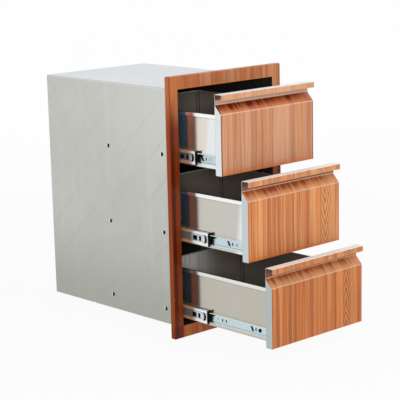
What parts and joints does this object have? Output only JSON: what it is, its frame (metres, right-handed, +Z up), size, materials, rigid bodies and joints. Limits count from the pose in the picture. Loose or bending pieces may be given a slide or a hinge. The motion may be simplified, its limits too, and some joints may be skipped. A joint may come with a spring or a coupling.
{
  "type": "outdoor kitchen drawer unit",
  "caption": "Built-in outdoor kitchen drawer unit: folded steel carcass, wood-look face frame, and hooked-pull drawers on telescopic ball slides, standing partly open.",
  "frame": {"origin": "middle of the face frame's bottom face, at half the depth of its folded edge", "axes": "+Z up, the drawers open towards -Y, and +X is to the right as the front is looked at"},
  "size_m": [0.419, 0.8841, 0.711],
  "materials": {
    "wood_film": "satin wood-grain film on folded sheet steel",
    "carcass_steel": "matt bare sheet steel",
    "drawer_steel": "polished sheet steel",
    "zinc_rail": "bright zinc-plated steel",
    "bumper_plastic": "black moulded plastic",
    "ball_steel": "polished balls",
    "black_bolts": "blackened screws",
    "bright_bolts": "bright screw heads"
  },
  "bodies": {
    "cabinet": {"face_frame": "wood_film", "carcass_wrap": "carcass_steel", "carcass_bottom": "carcass_steel", "carcass_back": "carcass_steel", "slide_bolts": "bright_bolts", "slide_post_front_left": "carcass_steel", "slide_post_front_right": "carcass_steel", "slide_post_rear_left": "carcass_steel", "slide_post_rear_right": "carcass_steel", "cabinet_rail_bottom_left": "zinc_rail", "cabinet_rail_bottom_right": "zinc_rail", "cabinet_rail_middle_left": "zinc_rail", "cabinet_rail_middle_right": "zinc_rail", "cabinet_rail_top_left": "zinc_rail", "cabinet_rail_top_right": "zinc_rail"},
    "drawer_bottom": {"drawer_front_bottom": "wood_film", "drawer_liner_bottom": "drawer_steel", "drawer_box_bottom": "drawer_steel", "drawer_back_bottom": "drawer_steel", "drawer_bolts_bottom": "black_bolts", "drawer_rail_bottom_left": "zinc_rail", "drawer_rail_bottom_right": "zinc_rail"},
    "slides_bottom": {"slide_bumpers_bottom": "bumper_plastic", "middle_rail_bottom_left": "zinc_rail", "middle_rail_bottom_right": "zinc_rail"},
    "outer_rollers_bottom": {"outer_cages_bottom": "zinc_rail", "outer_balls_bottom": "ball_steel"},
    "inner_rollers_bottom": {"inner_cages_bottom": "zinc_rail", "inner_balls_bottom": "ball_steel"},
    "drawer_middle": {"drawer_front_middle": "wood_film", "drawer_liner_middle": "drawer_steel", "drawer_box_middle": "drawer_steel", "drawer_back_middle": "drawer_steel", "drawer_bolts_middle": "black_bolts", "drawer_rail_middle_left": "zinc_rail", "drawer_rail_middle_right": "zinc_rail"},
    "slides_middle": {"slide_bumpers_middle": "bumper_plastic", "middle_rail_middle_left": "zinc_rail", "middle_rail_middle_right": "zinc_rail"},
    "outer_rollers_middle": {"outer_cages_middle": "zinc_rail", "outer_balls_middle": "ball_steel"},
    "inner_rollers_middle": {"inner_cages_middle": "zinc_rail", "inner_balls_middle": "ball_steel"},
    "drawer_top": {"drawer_front_top": "wood_film", "drawer_liner_top": "drawer_steel", "drawer_box_top": "drawer_steel", "drawer_back_top": "drawer_steel", "drawer_bolts_top": "black_bolts", "drawer_rail_top_left": "zinc_rail", "drawer_rail_top_right": "zinc_rail"},
    "slides_top": {"slide_bumpers_top": "bumper_plastic", "middle_rail_top_left": "zinc_rail", "middle_rail_top_right": "zinc_rail"},
    "outer_rollers_top": {"outer_cages_top": "zinc_rail", "outer_balls_top": "ball_steel"},
    "inner_rollers_top": {"inner_cages_top": "zinc_rail", "inner_balls_top": "ball_steel"}
  },
  "joints": [
    {"name": "drawer_bottom_slide", "type": "slide", "parent": "cabinet", "child": "drawer_bottom", "axis": [0, -1, 0], "range_m": [-0.331, 0.059]},
    {"name": "slides_bottom_travel", "type": "slide", "parent": "cabinet", "child": "slides_bottom", "axis": [0, -1, 0], "range_m": [-0.1352, 0.0241]},
    {"name": "outer_rollers_bottom_travel", "type": "slide", "parent": "cabinet", "child": "outer_rollers_bottom", "axis": [0, -1, 0], "range_m": [-0.0676, 0.01205]},
    {"name": "inner_rollers_bottom_travel", "type": "slide", "parent": "cabinet", "child": "inner_rollers_bottom", "axis": [0, -1, 0], "range_m": [-0.2331, 0.04155]},
    {"name": "drawer_middle_slide", "type": "slide", "parent": "cabinet", "child": "drawer_middle", "axis": [0, -1, 0], "range_m": [-0.25, 0.14]},
    {"name": "slides_middle_travel", "type": "slide", "parent": "cabinet", "child": "slides_middle", "axis": [0, -1, 0], "range_m": [-0.145, 0.08121]},
    {"name": "outer_rollers_middle_travel", "type": "slide", "parent": "cabinet", "child": "outer_rollers_middle", "axis": [0, -1, 0], "range_m": [-0.0725, 0.04061]},
    {"name": "inner_rollers_middle_travel", "type": "slide", "parent": "cabinet", "child": "inner_rollers_middle", "axis": [0, -1, 0], "range_m": [-0.1975, 0.11061]},
    {"name": "drawer_top_slide", "type": "slide", "parent": "cabinet", "child": "drawer_top", "axis": [0, -1, 0], "range_m": [-0.157, 0.233]},
    {"name": "slides_top_travel", "type": "slide", "parent": "cabinet", "child": "slides_top", "axis": [0, -1, 0], "range_m": [-0.1025, 0.15212]},
    {"name": "outer_rollers_top_travel", "type": "slide", "parent": "cabinet", "child": "outer_rollers_top", "axis": [0, -1, 0], "range_m": [-0.05125, 0.07606]},
    {"name": "inner_rollers_top_travel", "type": "slide", "parent": "cabinet", "child": "inner_rollers_top", "axis": [0, -1, 0], "range_m": [-0.12975, 0.19256]}
  ],
  "couplings": [
    {"joint": "slides_bottom_travel", "follows": "drawer_bottom_slide", "ratio": 0.40846},
    {"joint": "outer_rollers_bottom_travel", "follows": "drawer_bottom_slide", "ratio": 0.20423},
    {"joint": "inner_rollers_bottom_travel", "follows": "drawer_bottom_slide", "ratio": 0.70423},
    {"joint": "slides_middle_travel", "follows": "drawer_middle_slide", "ratio": 0.58},
    {"joint": "outer_rollers_middle_travel", "follows": "drawer_middle_slide", "ratio": 0.29},
    {"joint": "inner_rollers_middle_travel", "follows": "drawer_middle_slide", "ratio": 0.79},
    {"joint": "slides_top_travel", "follows": "drawer_top_slide", "ratio": 0.65287},
    {"joint": "outer_rollers_top_travel", "follows": "drawer_top_slide", "ratio": 0.32643},
    {"joint": "inner_rollers_top_travel", "follows": "drawer_top_slide", "ratio": 0.82643}
  ]
}
